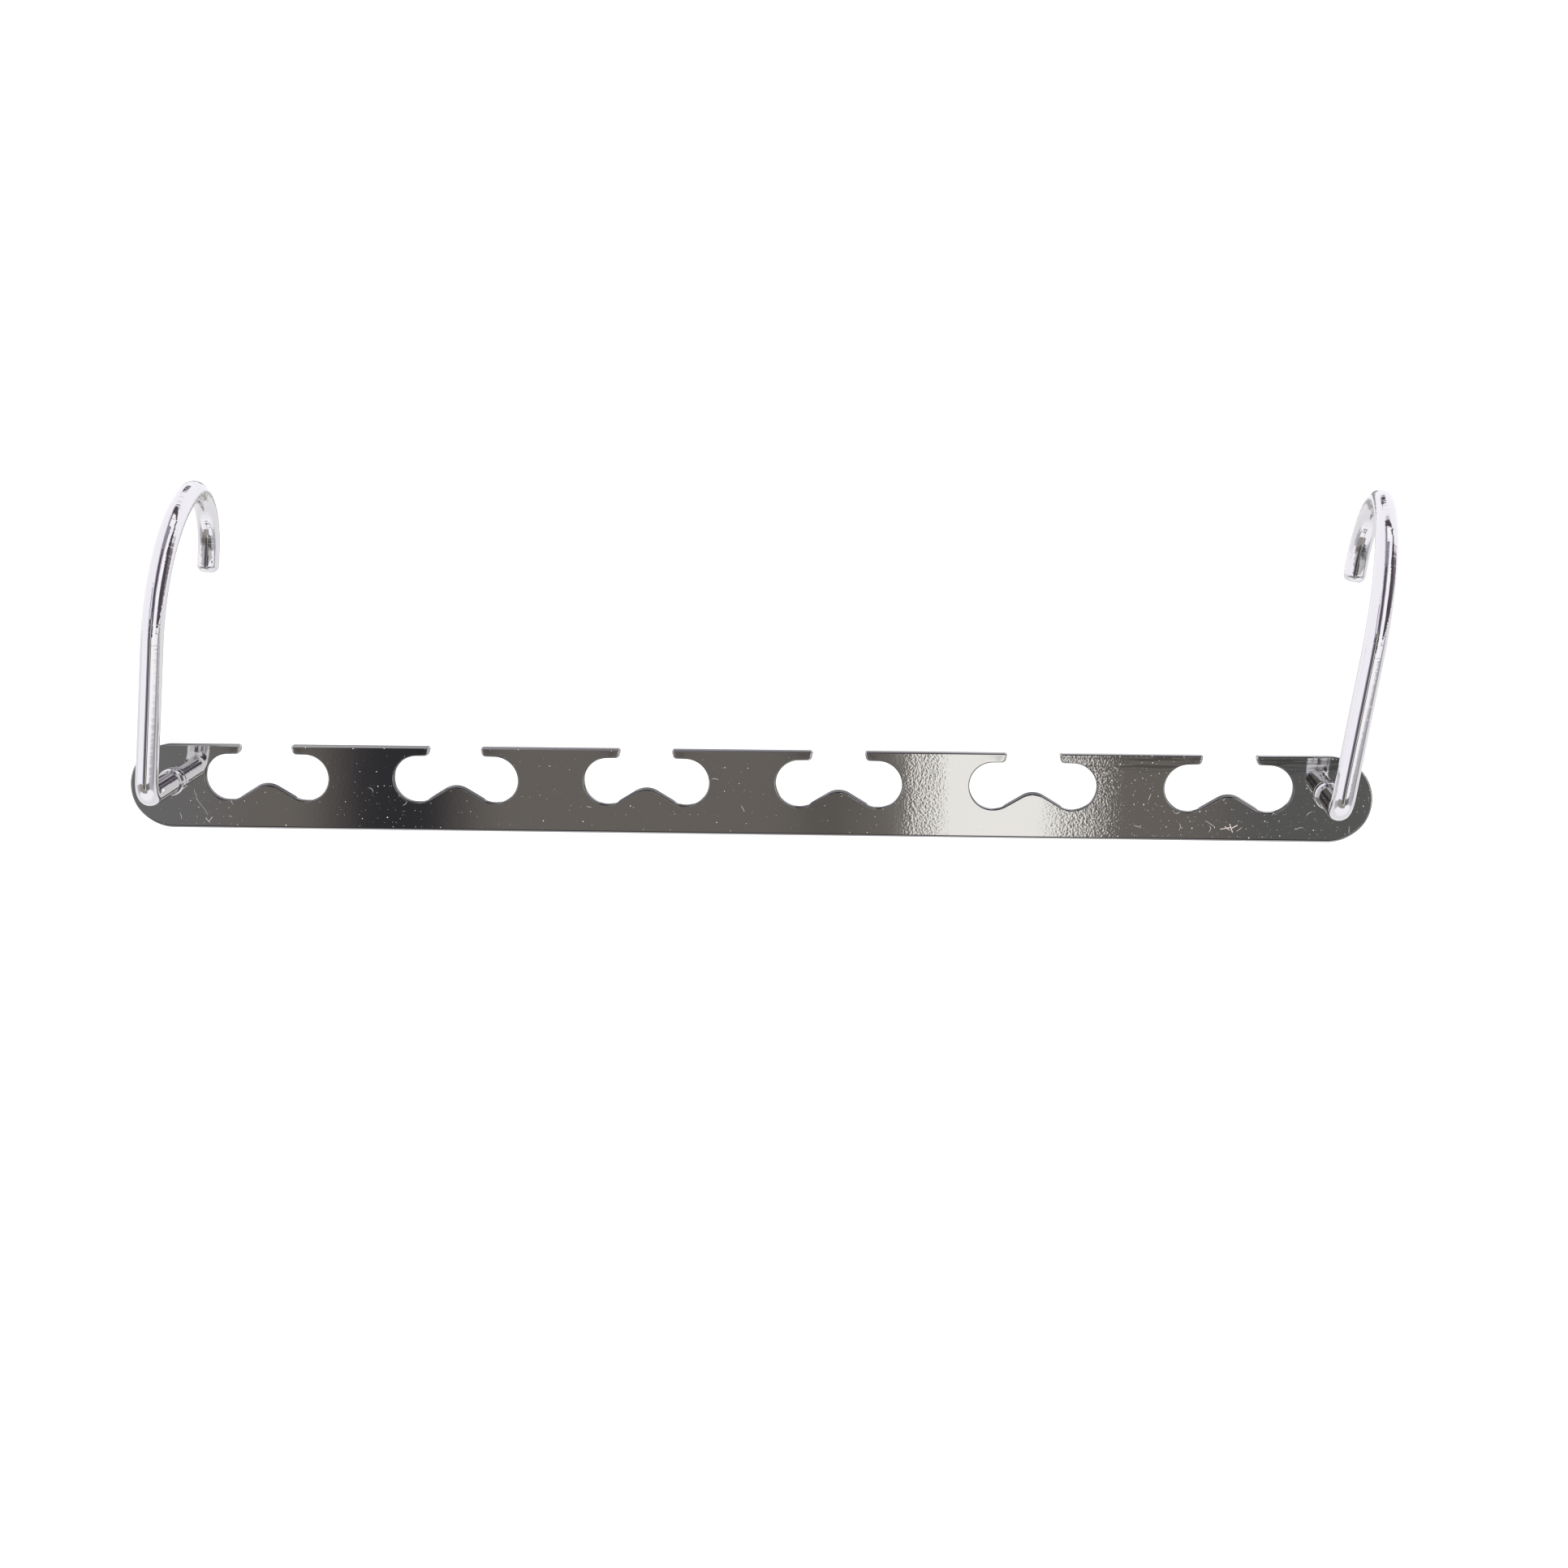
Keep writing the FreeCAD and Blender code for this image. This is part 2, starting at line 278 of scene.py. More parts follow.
def lean_tongues(points, normals):
    """Presses each crest forward: a bend of constant radius along its foot, then a straight lean.

    Above the bend's start, a height s turns by lean times s over the bend's length, up to the lean.
    The height axis follows that curve, and the sheet's depth is carried square to it.
    """
    start = bend_height - bend_length / 2
    across = np.abs(points[:, None, 0] - slot_places).min(axis=1)
    rise = np.where((across < bend_half_width) & (points[:, 2] < crest_top + 0.1 * mm),
                    np.maximum(points[:, 2] - start, 0), 0)
    turn = tongue_lean * np.minimum(rise / bend_length, 1)
    straight = np.maximum(rise - bend_length, 0)
    bend_radius = bend_length / tongue_lean
    depth = points[:, 1] - bar_front
    forward = bend_radius * (1 - np.cos(turn)) + straight * np.sin(turn)
    height = bend_radius * np.sin(turn) + straight * np.cos(turn)
    points[:, 1] = bar_front - forward + depth * np.cos(turn)
    points[:, 2] += np.where(rise > 0, height - rise, 0) + depth * np.sin(turn)
    normal_y = normals[:, 1] * np.cos(turn) - normals[:, 2] * np.sin(turn)
    normal_z = normals[:, 1] * np.sin(turn) + normals[:, 2] * np.cos(turn)
    normals[:, 1] = normal_y
    normals[:, 2] = normal_z


def smooth_mesh(name, points, faces, normals):
    """A smooth-shaded mesh object whose shading normals are the surface's own, worked out with it."""
    mesh = bpy.data.meshes.new(name)
    mesh.from_pydata(points, [], faces)
    mesh.validate()
    mesh.shade_smooth()
    mesh.normals_split_custom_set_from_vertices(normals)
    piece = bpy.data.objects.new(name, mesh)
    bpy.context.scene.collection.objects.link(piece)
    return piece


outline = bar_outline()
edge_radius = (punched_edge_radius
               + (lip_edge_radius - punched_edge_radius) * lip_nearness(outline)
               + (roll_over_radius - punched_edge_radius) * lower_edge(outline))
hole_outlines = [arc((pivot.x, pivot.z), hole_radius, 360, 0, outward=-1)[:-1]
                 for pivot in (left_pivot, right_pivot)]

bar_points = []
bar_normals = []
bar_fracture_and_shade = []
bar_faces = []
front_rings = []
front_count = []
back_count = []
total = 0
for ring in [outline] + hole_outlines:
    radius = edge_radius if ring is outline else np.full(len(ring), back_edge_radius)
    rim_points, rim_normals, rim_fracture_and_shade = rounded_rim(ring, radius, back_edge_radius)
    rows, columns = rim_points.shape[:2]
    bar_points.append(rim_points.reshape(-1, 3))
    bar_normals.append(rim_normals.reshape(-1, 3))
    bar_fracture_and_shade.append(rim_fracture_and_shade.ravel())
    bar_faces += ring_faces(rows, columns, total).tolist()
    front_rings.append(rim_points[0][:, [0, 2]])
    front_count.append(total + np.arange(columns))
    back_count.append(total + (rows - 1) * columns + np.arange(columns))
    total += rows * columns

inner, triangles = sheet_face(front_rings)
for depth, facing, edge_count in ((bar_front, -1, front_count), (bar_back, 1, back_count)):
    flat = np.stack([inner[:, 0], np.full(len(inner), depth), inner[:, 1]], axis=1)
    bar_points.append(flat)
    bar_normals.append(np.tile([0.0, facing, 0.0], (len(inner), 1)))
    # Painted shade on the faces near the lip ends, darker like the lips' dark reflections.
    bar_fracture_and_shade.append(0.45 * painted_lip_shade(inner))
    numbers = np.concatenate(edge_count + [total + np.arange(len(inner))])
    bar_faces += numbers[triangles][:, ::-facing].tolist()
    total += len(inner)

bar_points = np.vstack(bar_points)
bar_normals = np.vstack(bar_normals)
lean_tongues(bar_points, bar_normals)
bar_piece = smooth_mesh("stamped_bar", bar_points, bar_faces, bar_normals)
# The attribute carries the painted edge and lip shade, partly the fracture's own grey on the walls.
fracture_and_painted_shade = bar_piece.data.attributes.new("fracture_and_painted_shade", "FLOAT", "POINT")
fracture_and_painted_shade.data.foreach_set("value", np.concatenate(bar_fracture_and_shade))


def feed(tree, socket, value):
    """Sets an input socket to a value, or links it to the socket that feeds it."""
    if isinstance(value, bpy.types.NodeSocket):
        tree.links.new(value, socket)
    else:
        socket.default_value = value


def add(tree, kind, inputs=None, **settings):
    """Adds a shader node. Inputs maps its sockets to values, or to the sockets that feed them."""
    made = tree.nodes.new(kind)
    for name, value in settings.items():
        setattr(made, name, value)
    for key, value in (inputs or {}).items():
        feed(tree, made.inputs[key], value)
    return made


def math_node(tree, operation, *values):
    """Output of a Math node on numbers or sockets."""
    return add(tree, "ShaderNodeMath", dict(enumerate(values)), operation=operation).outputs[0]


def vector_node(tree, operation, first, second, socket="Vector"):
    """Output of a Vector Math node on vectors or sockets."""
    made = add(tree, "ShaderNodeVectorMath", {0: first}, operation=operation)
    feed(tree, made.inputs["Scale" if operation == "SCALE" else 1], second)
    return made.outputs[socket]


def smooth_step(tree, value, start, end):
    """0 below start, 1 above end, and a smooth ramp between; falling if start is above end."""
    made = add(tree, "ShaderNodeMapRange", {"Value": value, "From Min": start, "From Max": end},
               interpolation_type="SMOOTHSTEP")
    return made.outputs["Result"]


def new_group(name, inputs, outputs):
    """An empty shader node group with named sockets; returns the tree and its inner end sockets."""
    tree = bpy.data.node_groups.new(name, "ShaderNodeTree")
    for label, kind, value in inputs:
        socket = tree.interface.new_socket(label, in_out="INPUT", socket_type=kind)
        if value is not None:
            socket.default_value = value
    for label, kind in outputs:
        tree.interface.new_socket(label, in_out="OUTPUT", socket_type=kind)
    start = tree.nodes.new("NodeGroupInput").outputs
    end = tree.nodes.new("NodeGroupOutput").inputs
    return tree, start, end


def plating_grain():
    """Bright plate's faint orange peel: fine grain and broad waves, as one height."""
    tree, start, end = new_group(
        "plating_grain",
        [("Position", "NodeSocketVector", None), ("Grain", "NodeSocketFloat", 0.5 * mm),
         ("Grain share", "NodeSocketFloat", 1.0), ("Peel", "NodeSocketFloat", 6 * mm),
         ("Peel share", "NodeSocketFloat", 4.0)],
        [("Height", "NodeSocketFloat")])
    fine_at = vector_node(tree, "SCALE", start["Position"],
                          math_node(tree, "DIVIDE", 1.0, start["Grain"]))
    broad_at = vector_node(tree, "SCALE", start["Position"],
                           math_node(tree, "DIVIDE", 1.0, start["Peel"]))
    fine = add(tree, "ShaderNodeTexNoise", {"Vector": fine_at, "Scale": 1.0, "Detail": 1.0}).outputs[0]
    broad = add(tree, "ShaderNodeTexNoise", {"Vector": broad_at, "Scale": 1.0, "Detail": 0.0}).outputs[0]
    total = math_node(tree, "ADD", math_node(tree, "MULTIPLY", fine, start["Grain share"]),
                      math_node(tree, "MULTIPLY", broad, start["Peel share"]))
    tree.links.new(total, end["Height"])
    return tree


def flat_cells(tree, start):
    """The nearest cell of a flat cellular pattern: its random numbers, and the way and distance from it."""
    per_cell = math_node(tree, "DIVIDE", 1.0, start["Cell"])
    place = vector_node(tree, "SCALE", start["Position"], per_cell)
    cells = add(tree, "ShaderNodeTexVoronoi", {"Vector": place, "Scale": 1.0},
                voronoi_dimensions="2D").outputs
    random = add(tree, "ShaderNodeSeparateColor", {0: cells["Color"]}).outputs
    away = vector_node(tree, "SUBTRACT", place, cells["Position"])
    return random, away, cells["Distance"]


def dust_specks():
    """Round specks of uneven size: one in some cells of a flat pattern, thinned out by a share."""
    tree, start, end = new_group(
        "dust_specks",
        [("Position", "NodeSocketVector", None), ("Cell", "NodeSocketFloat", 2.5 * mm),
         ("Radius", "NodeSocketFloat", 0.1 * mm), ("Share", "NodeSocketFloat", 0.3)],
        [("Mask", "NodeSocketFloat")])
    random, _, distance = flat_cells(tree, start)
    uneven = math_node(tree, "POWER", random[0], 2.0)
    size = math_node(tree, "MULTIPLY", start["Radius"], math_node(tree, "ADD", uneven, 0.45))
    present = math_node(tree, "LESS_THAN", random[1], start["Share"])
    near = math_node(tree, "DIVIDE", math_node(tree, "MULTIPLY", distance, start["Cell"]), size)
    spot = smooth_step(tree, near, 1.0, 0.6)
    tree.links.new(math_node(tree, "MULTIPLY", spot, present), end["Mask"])
    return tree


def hair_scratches():
    """Short hairlines, each turned and bowed its own way about the middle of a cell."""
    tree, start, end = new_group(
        "hair_scratches",
        [("Position", "NodeSocketVector", None), ("Cell", "NodeSocketFloat", 4 * mm),
         ("Width", "NodeSocketFloat", 0.05 * mm), ("Share", "NodeSocketFloat", 0.3)],
        [("Mask", "NodeSocketFloat")])
    random, away, _ = flat_cells(tree, start)
    offset = add(tree, "ShaderNodeSeparateXYZ", {0: away}).outputs
    angle = math_node(tree, "MULTIPLY", random[0], 2 * math.pi)
    cosine = math_node(tree, "COSINE", angle)
    sine = math_node(tree, "SINE", angle)
    along = math_node(tree, "ADD", math_node(tree, "MULTIPLY", offset[0], cosine),
                      math_node(tree, "MULTIPLY", offset[1], sine))
    aside = math_node(tree, "SUBTRACT", math_node(tree, "MULTIPLY", offset[1], cosine),
                      math_node(tree, "MULTIPLY", offset[0], sine))
    bow = math_node(tree, "MULTIPLY", math_node(tree, "SUBTRACT", random[2], 0.5), 5.0)
    sag = math_node(tree, "MULTIPLY", math_node(tree, "MULTIPLY", along, along), bow)
    off_line = math_node(tree, "MULTIPLY", math_node(tree, "ABSOLUTE",
                         math_node(tree, "SUBTRACT", aside, sag)), start["Cell"])
    line = smooth_step(tree, math_node(tree, "DIVIDE", off_line, start["Width"]), 1.0, 0.3)
    ends = smooth_step(tree, math_node(tree, "ABSOLUTE", along), 0.3, 0.1)
    present = math_node(tree, "LESS_THAN", random[1], start["Share"])
    mark = math_node(tree, "MULTIPLY", math_node(tree, "MULTIPLY", line, ends), present)
    tree.links.new(mark, end["Mask"])
    return tree


def single_stroke():
    """One straight stroke between two places: 1 within its width of the line, 0 beyond."""
    tree, start, end = new_group(
        "single_stroke",
        [("Position", "NodeSocketVector", None), ("From", "NodeSocketVector", (0, 0, 0)),
         ("To", "NodeSocketVector", (1, 0, 0)), ("Width", "NodeSocketFloat", 0.1 * mm)],
        [("Mask", "NodeSocketFloat")])
    run = vector_node(tree, "SUBTRACT", start["To"], start["From"])
    away = vector_node(tree, "SUBTRACT", start["Position"], start["From"])
    share = math_node(tree, "DIVIDE", vector_node(tree, "DOT_PRODUCT", away, run, "Value"),
                      vector_node(tree, "DOT_PRODUCT", run, run, "Value"))
    share = math_node(tree, "MINIMUM", math_node(tree, "MAXIMUM", share, 0.0), 1.0)
    nearest = vector_node(tree, "SCALE", run, share)
    gap = vector_node(tree, "DISTANCE", away, nearest, "Value")
    mask = smooth_step(tree, math_node(tree, "DIVIDE", gap, start["Width"]), 1.0, 0.4)
    tree.links.new(mask, end["Mask"])
    return tree


grain_group = plating_grain()
speck_group = dust_specks()
scratch_group = hair_scratches()
stroke_group = single_stroke()


def place_group(tree, group, inputs):
    """Places a shared node group in a material, with its inputs set to values or fed by sockets."""
    made = tree.nodes.new("ShaderNodeGroup")
    made.node_tree = group
    for key, value in inputs.items():
        feed(tree, made.inputs[key], value)
    return made


def mix_colour(tree, factor, first, second):
    """Output of a colour mix: the first colour at factor 0, the second at 1."""
    made = add(tree, "ShaderNodeMix", {"Factor": factor}, data_type="RGBA")
    first_colour, second_colour, mixed_colour = 6, 7, 2
    feed(tree, made.inputs[first_colour], first)
    feed(tree, made.inputs[second_colour], second)
    return made.outputs[mixed_colour]


def patch(tree, place, centre, reach):
    """1 at a place on the face of the bar, falling to 0 at a distance from it across and up."""
    away = vector_node(tree, "SUBTRACT", place, (centre[0], centre[1], 0))
    scaled = vector_node(tree, "DIVIDE", away, (reach[0], reach[1], 1.0))
    length = vector_node(tree, "LENGTH", scaled, (0, 0, 0), "Value")
    return smooth_step(tree, length, 1.0, 0.4)


def strokes(tree, face, marks, rows):
    """Marks joined with straight strokes. A row is from, to and width in mm, up from the lower edge."""
    for left, low, right, high, width in rows:
        stroke = place_group(tree, stroke_group, {
            "Position": face, "From": (left * mm, bar_low.z + low * mm, 0),
            "To": (right * mm, bar_low.z + high * mm, 0), "Width": width * mm}).outputs["Mask"]
        marks = math_node(tree, "MAXIMUM", marks, stroke)
    return marks


def chromed_strip():
    """Bright chrome on strip from the rolling mill: grain, dust, hair scratches, a scuff, and painted shade
    that darkens the edges, the lips and streaks under the top, partly the fracture's own grey.
    """
    material = bpy.data.materials.new("chromed_strip")
    material.use_nodes = True
    tree = material.node_tree
    shader = tree.nodes["Principled BSDF"]
    place = add(tree, "ShaderNodeTexCoord").outputs["Object"]
    parts = add(tree, "ShaderNodeSeparateXYZ", {0: place}).outputs
    sideways = math_node(tree, "MULTIPLY_ADD", parts[1], 5.0, parts[0])
    upwards = math_node(tree, "MULTIPLY_ADD", parts[1], 3.0, parts[2])
    flat = add(tree, "ShaderNodeCombineXYZ", {0: sideways, 1: upwards}).outputs[0]
    face = add(tree, "ShaderNodeCombineXYZ", {0: parts[0], 1: parts[2]}).outputs[0]

    worn_right = smooth_step(tree, parts[0], 58 * mm, 72 * mm)
    handled = patch(tree, face, (-77 * mm, bar_low.z + 6 * mm), (11 * mm, 9 * mm))
    left_end = patch(tree, face, (-117 * mm, bar_low.z + 5 * mm), (9 * mm, 9 * mm))
    busy = math_node(tree, "MAXIMUM", math_node(tree, "MULTIPLY", worn_right, 0.8),
                     math_node(tree, "MULTIPLY", math_node(tree, "MAXIMUM", handled, left_end), 0.55))
    frosted = math_node(tree, "MULTIPLY", smooth_step(tree, parts[0], 60 * mm, 69 * mm),
                        smooth_step(tree, parts[0], 84 * mm, 74 * mm))
    frosted_left = math_node(tree, "MULTIPLY", smooth_step(tree, parts[0], 33 * mm, 37 * mm),
                             smooth_step(tree, parts[0], 46 * mm, 41 * mm))
    frosted = math_node(tree, "MAXIMUM", frosted, frosted_left)
    dust = place_group(tree, speck_group, {
        "Position": flat, "Cell": 1.7 * mm, "Radius": 0.10 * mm,
        "Share": math_node(tree, "MULTIPLY_ADD", busy, 0.30, 0.12)}).outputs["Mask"]
    powder = place_group(tree, speck_group, {
        "Position": flat, "Cell": 0.8 * mm, "Radius": 0.06 * mm,
        "Share": math_node(tree, "MULTIPLY_ADD", busy, 0.30, 0.06)}).outputs["Mask"]
    scratch = place_group(tree, scratch_group, {
        "Position": flat, "Cell": 3.2 * mm, "Width": 0.05 * mm,
        "Share": math_node(tree, "MULTIPLY_ADD", busy, 0.22, 0.03)}).outputs["Mask"]
    scuff = strokes(tree, face, 0.0, (
        (101.1, 2.6, 103.1, 3.0, 0.09), (103.0, 3.7, 103.6, 2.0, 0.10),
        (103.5, 2.9, 104.6, 3.5, 0.10), (102.0, 3.2, 103.0, 2.4, 0.07)))
    scratch = strokes(tree, face, scratch, (
        (97.9, 4.4, 99.9, 3.1, 0.04), (-116.2, 2.3, -115.6, 1.4, 0.06),
        (-115.6, 1.4, -114.8, 2.5, 0.06), (-116.3, 4.0, -115.8, 2.9, 0.03),
        (-117.9, 6.1, -116.3, 4.0, 0.03), (-118.6, 8.6, -117.9, 6.1, 0.03)))
    marks = math_node(tree, "MAXIMUM", math_node(tree, "MAXIMUM", dust, scuff),
                      math_node(tree, "MULTIPLY", math_node(tree, "MAXIMUM", powder, scratch), 0.7))
    # Painted shade from the mesh: the fracture's grey on the walls plus painted dark reflections on the edges
    # and lips.
    fracture_and_painted_mask = add(tree, "ShaderNodeAttribute", attribute_name="fracture_and_painted_shade").outputs["Fac"]

    mark_colour = mix_colour(tree, scuff, (0.92, 0.91, 0.90, 1), (0.86, 0.70, 0.68, 1))
    # Painted reflection: dark streaks under the top edge at the right, standing in for streaky dark
    # reflections.
    streak_at = vector_node(tree, "MULTIPLY", face, (110.0, 1900.0, 1.0))
    streak = add(tree, "ShaderNodeTexNoise", {"Vector": streak_at, "Scale": 1.0, "Detail": 1.0},
                 noise_dimensions="2D").outputs[0]
    under_top = smooth_step(tree, parts[2], bar_high.z - 4.2 * mm, bar_high.z - 2.2 * mm)
    painted_dark_bands = math_node(tree, "MULTIPLY", smooth_step(tree, streak, 0.46, 0.60),
                       math_node(tree, "MULTIPLY", under_top, worn_right))
    fracture_and_painted_mask = math_node(tree, "MAXIMUM", fracture_and_painted_mask, math_node(tree, "MULTIPLY", painted_dark_bands, 0.45))
    # Painted shade: the chrome's colour goes nearly black wherever this mask is set.
    metal = mix_colour(tree, fracture_and_painted_mask, (0.60, 0.595, 0.585, 1), (0.035, 0.034, 0.037, 1))
    colour = mix_colour(tree, marks, metal, mark_colour)
    tree.links.new(colour, shader.inputs["Base Color"])
    tree.links.new(math_node(tree, "SUBTRACT", 1.0, marks), shader.inputs["Metallic"])
    rough = math_node(tree, "MULTIPLY_ADD", fracture_and_painted_mask, 0.05, 0.035)
    tree.links.new(math_node(tree, "MULTIPLY_ADD", marks, 0.6, rough), shader.inputs["Roughness"])

    pitted = math_node(tree, "MULTIPLY_ADD", frosted, 8.0,
                       math_node(tree, "MULTIPLY_ADD", worn_right, 1.2, 0.8))
    grain = place_group(tree, grain_group, {"Position": place, "Grain": 0.42 * mm,
                                            "Grain share": pitted}).outputs["Height"]
    bump = add(tree, "ShaderNodeBump", {"Height": grain, "Distance": 0.0010 * mm, "Strength": 1.0})
    tree.links.new(bump.outputs[0], shader.inputs["Normal"])
    return material


bar_piece.data.materials.append(chromed_strip())
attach(bar_piece, "bar")
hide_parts("slotted_bar")

# --------------------------------------------------------------------------------- wire hooks
# One length of 4.75 mm steel wire: its end is upset into a collar and necked down to a tenon that
# goes through the bar and is peened over behind it. The rest is bent up and back over the rod,
# and the cut end is chamfered. Plated like the bar.
wire_radius = 2.375 * mm
elbow_radius = 3.6 * mm
hook_rise = 61.8 * mm
hook_depth = 39.7 * mm
sweep_radius = 30.5 * mm
bight_radius = 14.1 * mm
tip_turn = math.radians(4.3)
tip_length = 3.6 * mm
tip_round = 1.6 * mm
tenon_radius = 1.9 * mm
collar_radius = 2.925 * mm
collar_length = 1.8 * mm
collar_taper = 0.5 * mm
collar_round = 0.25 * mm
head_radius = 3.2 * mm
head_rim = 0.5 * mm
head_height = 1.3 * mm
play = 0.05 * mm
stub_length = hook_depth / 2 - sheet_thickness / 2
leans = {"left_hook": math.radians(4.7), "right_hook": math.radians(9.0)}
cm = 10 * mm

sweep_turn = math.acos((sweep_radius + bight_radius - hook_depth) / (sweep_radius - bight_radius))
bight_turn = math.pi + tip_turn - sweep_turn
limb_length = (hook_rise - elbow_radius - sweep_radius * math.sin(sweep_turn)
               - bight_radius * (1 - math.sin(sweep_turn)))
wire_spans = [stub_length - elbow_radius, elbow_radius * math.pi / 2, limb_length,
              sweep_radius * sweep_turn, bight_radius * bight_turn, tip_length]
wire_turns = [0, math.pi / 2, 0, sweep_turn, bight_turn, 0]
wire_length = sum(wire_spans)
wire_girth = 2 * math.pi * wire_radius


def wire_line(length):
    """Centreline of the bent wire at each length from the bar's front face, with its heading.

    The heading turns from straight forward through straight up to a little past straight down. It
    grows evenly along each bend and stands still between them, and the place is its running sum.
    """
    stations = np.cumsum([0] + wire_spans)
    headings = np.cumsum([0] + wire_turns)
    fine = np.linspace(0, stations[-1], 12001)
    fine_heading = np.interp((fine[1:] + fine[:-1]) / 2, stations, headings)
    step = fine[1]
    forward = np.concatenate([[0], np.cumsum(np.cos(fine_heading)) * step])
    upward = np.concatenate([[0], np.cumsum(np.sin(fine_heading)) * step])
    heading = np.interp(length, stations, headings)
    behind = np.minimum(length, 0)
    return np.interp(length, fine, forward) + behind, np.interp(length, fine, upward), heading


def wire_profile():
    """Rows of (length, radius, normal along, normal out) from the peened head's crown to the tip.

    The head is a spherical cap on a short rim, the tenon and the collar are plain cylinders, and
    the collar's shoulder and the tip are rounded off with quarter circles.
    """
    back = -(sheet_thickness + play)
    crown_radius = (head_radius ** 2 + (head_height - head_rim) ** 2) / (2 * (head_height - head_rim))
    cap = math.degrees(math.asin(head_radius / crown_radius))
    crown = arc((back - head_height + crown_radius, 0), crown_radius, 180, 180 - cap)
    taper = math.degrees(math.atan2(collar_radius - wire_radius, collar_taper))
    rim = np.array([[back - head_rim, head_radius, 0, 1], [back, head_radius, 0, 1],
                    [back, head_radius, 1, 0], [back, tenon_radius, 1, 0],
                    [back, tenon_radius, 0, 1], [play, tenon_radius, 0, 1],
                    [play, tenon_radius, -1, 0]])
    shoulder = arc((play + collar_round, collar_radius - collar_round), collar_round, 180, 90,
                   spacing=0.05 * mm)
    nose = arc((play + collar_length - collar_round, collar_radius - collar_round), collar_round,
               90, 90 - taper, spacing=0.02 * mm)
    start = play + collar_length + collar_taper
    plain = np.arange(start, wire_length - tip_round, 0.4 * mm)
    shaft = np.stack([plain, np.full(len(plain), wire_radius), 0 * plain, 0 * plain + 1], axis=1)
    tip = arc((wire_length - tip_round, wire_radius - tip_round), tip_round, 90, 0, spacing=0.08 * mm)
    return np.vstack([crown, rim, shoulder, nose, shaft, tip])


def wire_hook(name, pivot, lean, around=72):
    """The profile carried along the bent wire, closed at both poles and turned about its rivet.

    A ring's point is the centreline plus the radius times (cos a across, sin a square to the
    heading), and its normal is the profile's own, turned the same way.
    """
    profile = wire_profile()
    forward, upward, heading = wire_line(profile[:, 0])
    angle = np.arange(around) * 2 * math.pi / around
    across = np.cos(angle)[None, :]
    square = np.sin(angle)[None, :]
    cosine, sine = np.cos(heading)[:, None], np.sin(heading)[:, None]
    radius, along, out = profile[:, 1:2], profile[:, 2:3], profile[:, 3:4]
    x = radius * across
    y = -forward[:, None] + radius * square * sine
    z = upward[:, None] + radius * square * cosine
    normal_x = out * across
    normal_y = -along * cosine + out * square * sine
    normal_z = along * sine + out * square * cosine
    points = np.stack([x, y, z], axis=2).reshape(-1, 3)
    normals = np.stack([normal_x, normal_y, normal_z], axis=2).reshape(-1, 3)
    ends = np.array([[0, -forward[0], upward[0]], [0, -forward[-1], upward[-1]]])
    end_normals = np.array([[0, 1, 0], [0, -math.cos(heading[-1]), math.sin(heading[-1])]])
    points = np.vstack([points, ends])
    normals = np.vstack([normals, end_normals])
    turn = np.array([[math.cos(lean), 0, math.sin(lean)], [0, 1, 0], [-math.sin(lean), 0, math.cos(lean)]])
    points = points @ turn.T + np.array([pivot.x, bar_front, pivot.z])
    normals = normals @ turn.T
    rows = len(profile)
    faces = ring_faces(rows, around, 0)[:, ::-1].tolist()
    count = np.arange(around)
    following = (count + 1) % around
    first_pole, last_pole = rows * around, rows * around + 1
    last_row = (rows - 1) * around
    faces += np.stack([following, count, np.full(around, first_pole)], axis=1).tolist()
    faces += np.stack([last_row + count, last_row + following,
                       np.full(around, last_pole)], axis=1).tolist()
    piece = smooth_mesh(name, points, faces, normals)
    return piece, profile


def unroll(piece, profile, around=72):
    """A UV map in centimetres: u is the length along the wire, v the way round it."""
    mesh = piece.data
    numbers = np.zeros(len(mesh.loops), int)
    mesh.loops.foreach_get("vertex_index", numbers)
    rows = len(profile)
    row = np.minimum(numbers // around, rows - 1)
    length = profile[row, 0] / cm
    column = numbers % around
    starts = np.zeros(len(mesh.polygons), int)
    sizes = np.zeros(len(mesh.polygons), int)
    mesh.polygons.foreach_get("loop_start", starts)
    mesh.polygons.foreach_get("loop_total", sizes)
    face = np.repeat(np.arange(len(starts)), sizes)
    seam = np.zeros(len(starts), bool)
    np.logical_or.at(seam, face, column == around - 1)
    column = np.where(seam[face] & (column == 0), around, column)
    way_round = column / around * wire_girth / cm
    layer = mesh.uv_layers.new(name="unrolled")
    layer.data.foreach_set("uv", np.stack([length, way_round], axis=1).ravel())


